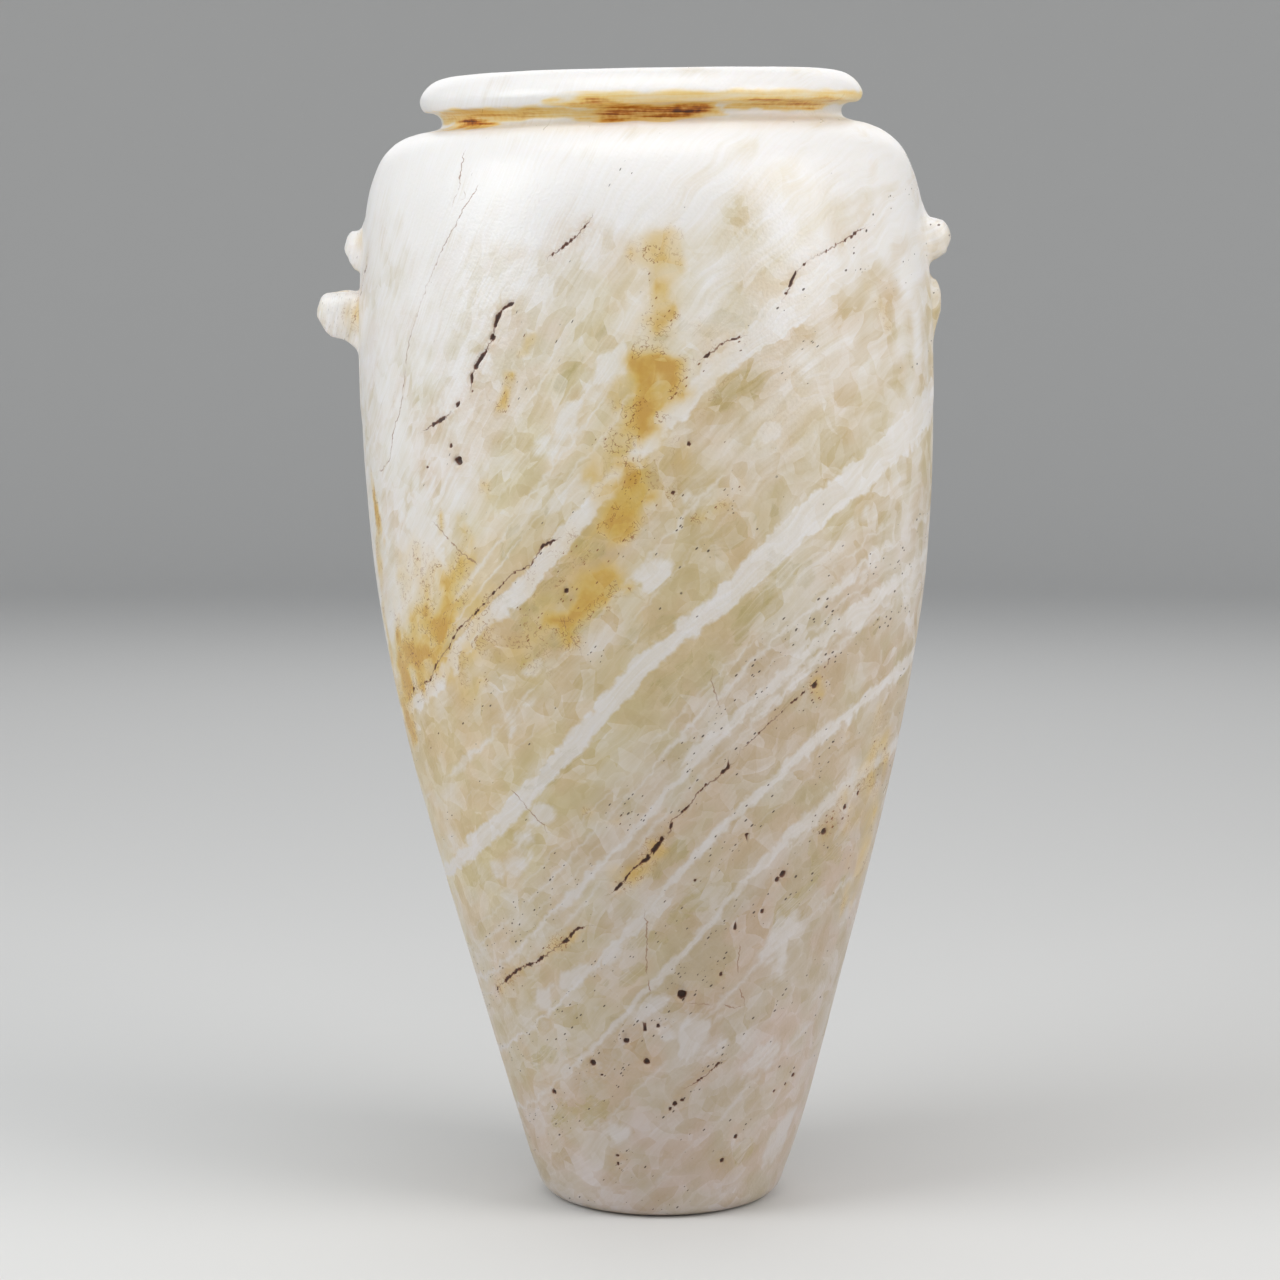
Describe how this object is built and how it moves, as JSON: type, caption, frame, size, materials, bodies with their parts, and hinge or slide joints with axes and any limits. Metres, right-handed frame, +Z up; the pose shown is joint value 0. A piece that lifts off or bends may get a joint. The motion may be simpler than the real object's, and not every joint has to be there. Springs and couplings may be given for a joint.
{
  "type": "lug-handled stone jar",
  "caption": "Tall tapering storage jar of banded translucent calcite, with a heavy rolled lip over a cord groove, broken lug handles on its shoulders and a small flat foot.",
  "frame": {"origin": "middle of the foot's flat underside", "axes": "+Z up, +X towards the right-hand lug as seen from the front, +Y to the back"},
  "size_m": [0.2509, 0.2264, 0.4515],
  "materials": {
    "calcite": "satin, hand-polished, with open pits and iron stains"
  },
  "bodies": {
    "root": {"jar": "calcite"}
  },
  "joints": []
}
